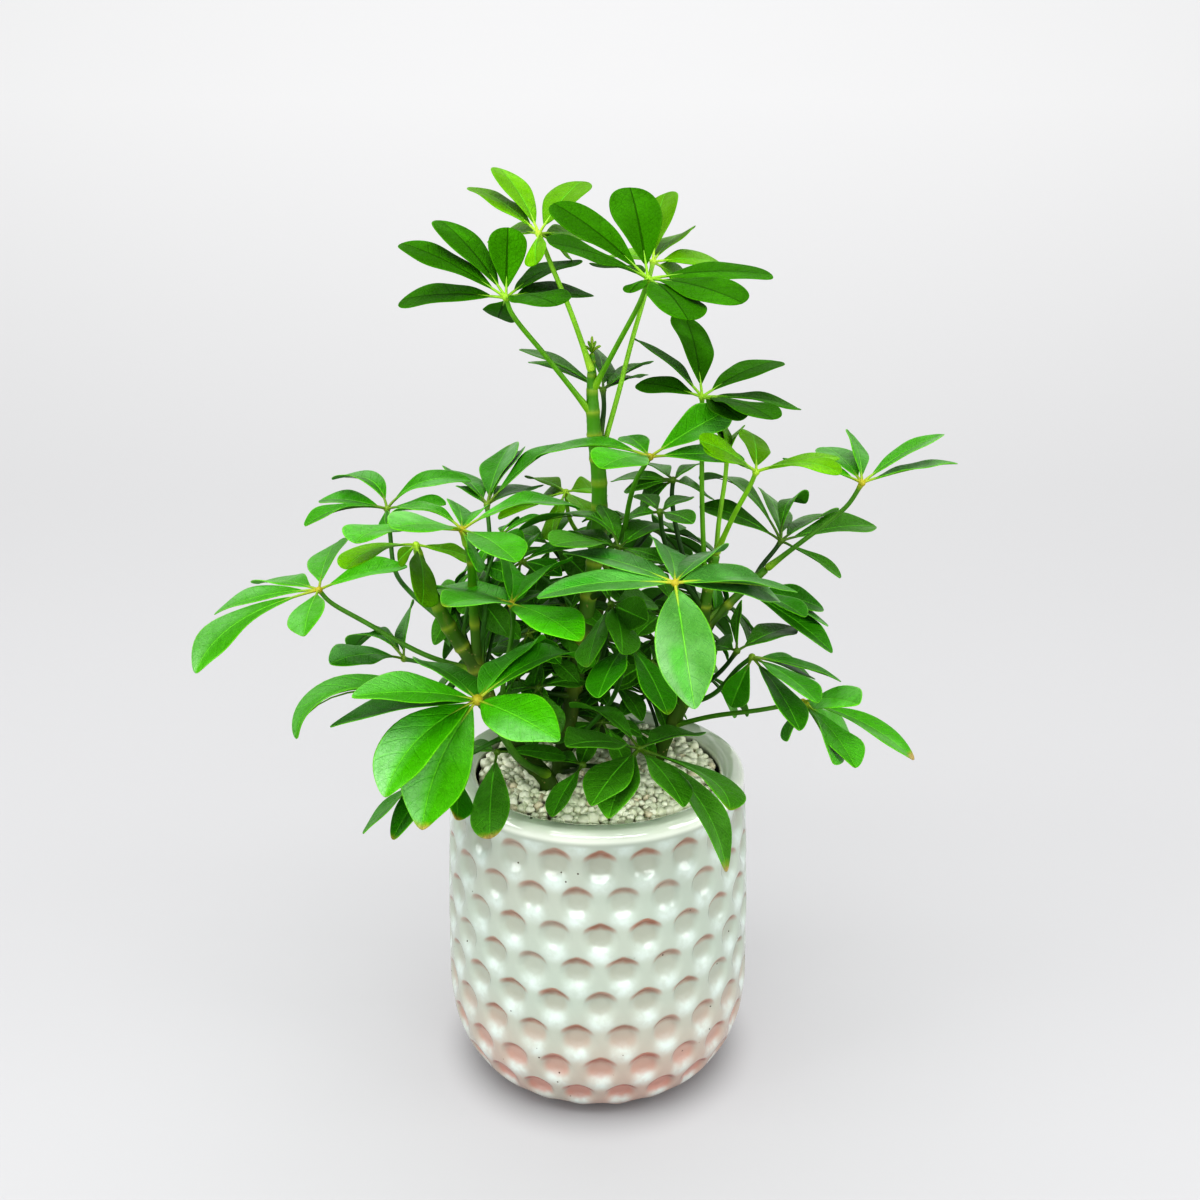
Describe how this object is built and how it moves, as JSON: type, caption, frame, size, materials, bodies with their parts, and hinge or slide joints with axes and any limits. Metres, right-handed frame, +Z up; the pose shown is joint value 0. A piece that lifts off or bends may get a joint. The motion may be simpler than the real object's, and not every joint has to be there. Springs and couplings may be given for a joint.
{
  "type": "potted umbrella plant",
  "caption": "Small umbrella plant with whorls of glossy leaflets on upright stems, growing in a round dimpled glazed pot topped with stone chips.",
  "frame": {"origin": "centre of the flat foot of the pot", "axes": "+Z up along the pot's axis, -Y towards the viewer of the picture, +X to the viewer's right"},
  "size_m": [0.3685, 0.2758, 0.462],
  "materials": {
    "glazed_pot": "gloss",
    "potting_soil": "matte",
    "marble_chips": "matte",
    "stem_bark": "satin",
    "leaf_bright": "satin",
    "leaf_young": "satin",
    "leaf_pale": "satin",
    "leaf_mid": "satin",
    "leaf_dark": "satin"
  },
  "bodies": {
    "root": {"pot": "glazed_pot", "soil": "potting_soil", "stone_chips": "marble_chips", "stem_main": "stem_bark", "stem_left": "stem_bark", "stem_right": "stem_bark", "stem_back": "stem_bark", "leaf_top_left": "leaf_bright", "leaf_top_back_left": "leaf_young", "leaf_top_right": "leaf_bright", "leaf_top_back_right": "leaf_young", "leaf_right_upper": "leaf_bright", "leaf_behind_tip": "leaf_dark", "leaf_front_upper": "leaf_bright", "leaf_middle_upper": "leaf_dark", "leaf_middle_dark": "leaf_dark", "leaf_centre_dark": "leaf_dark", "leaf_back_upper": "leaf_young", "leaf_young_right": "leaf_young", "leaf_young_shoot": "leaf_young", "leaf_far_right": "leaf_bright", "leaf_right_dark": "leaf_dark", "leaf_left_upper": "leaf_mid", "leaf_left_back": "leaf_mid", "leaf_left_bright": "leaf_bright", "leaf_left_front": "leaf_young", "leaf_far_left": "leaf_bright", "leaf_left_low": "leaf_mid", "leaf_front_left": "leaf_bright", "leaf_front_low": "leaf_dark", "leaf_front_centre": "leaf_pale", "leaf_centre_left": "leaf_bright", "leaf_inner_centre": "leaf_dark", "leaf_inner_front": "leaf_mid", "leaf_right_middle": "leaf_dark", "leaf_right_light": "leaf_mid", "leaf_right_side": "leaf_mid", "leaf_far_right_low": "leaf_bright", "leaf_rim_left": "leaf_dark", "leaf_rim_small": "leaf_dark", "leaf_rim_back_left": "leaf_mid", "leaf_inner_a": "leaf_dark", "leaf_inner_b": "leaf_dark", "leaf_inner_c": "leaf_dark", "leaf_inner_d": "leaf_dark", "leaf_inner_e": "leaf_dark", "leaf_back_a": "leaf_dark", "leaf_back_b": "leaf_dark", "leaf_back_c": "leaf_dark", "leaf_back_d": "leaf_dark", "leaf_back_e": "leaf_dark", "leaf_back_f": "leaf_dark"}
  },
  "joints": []
}
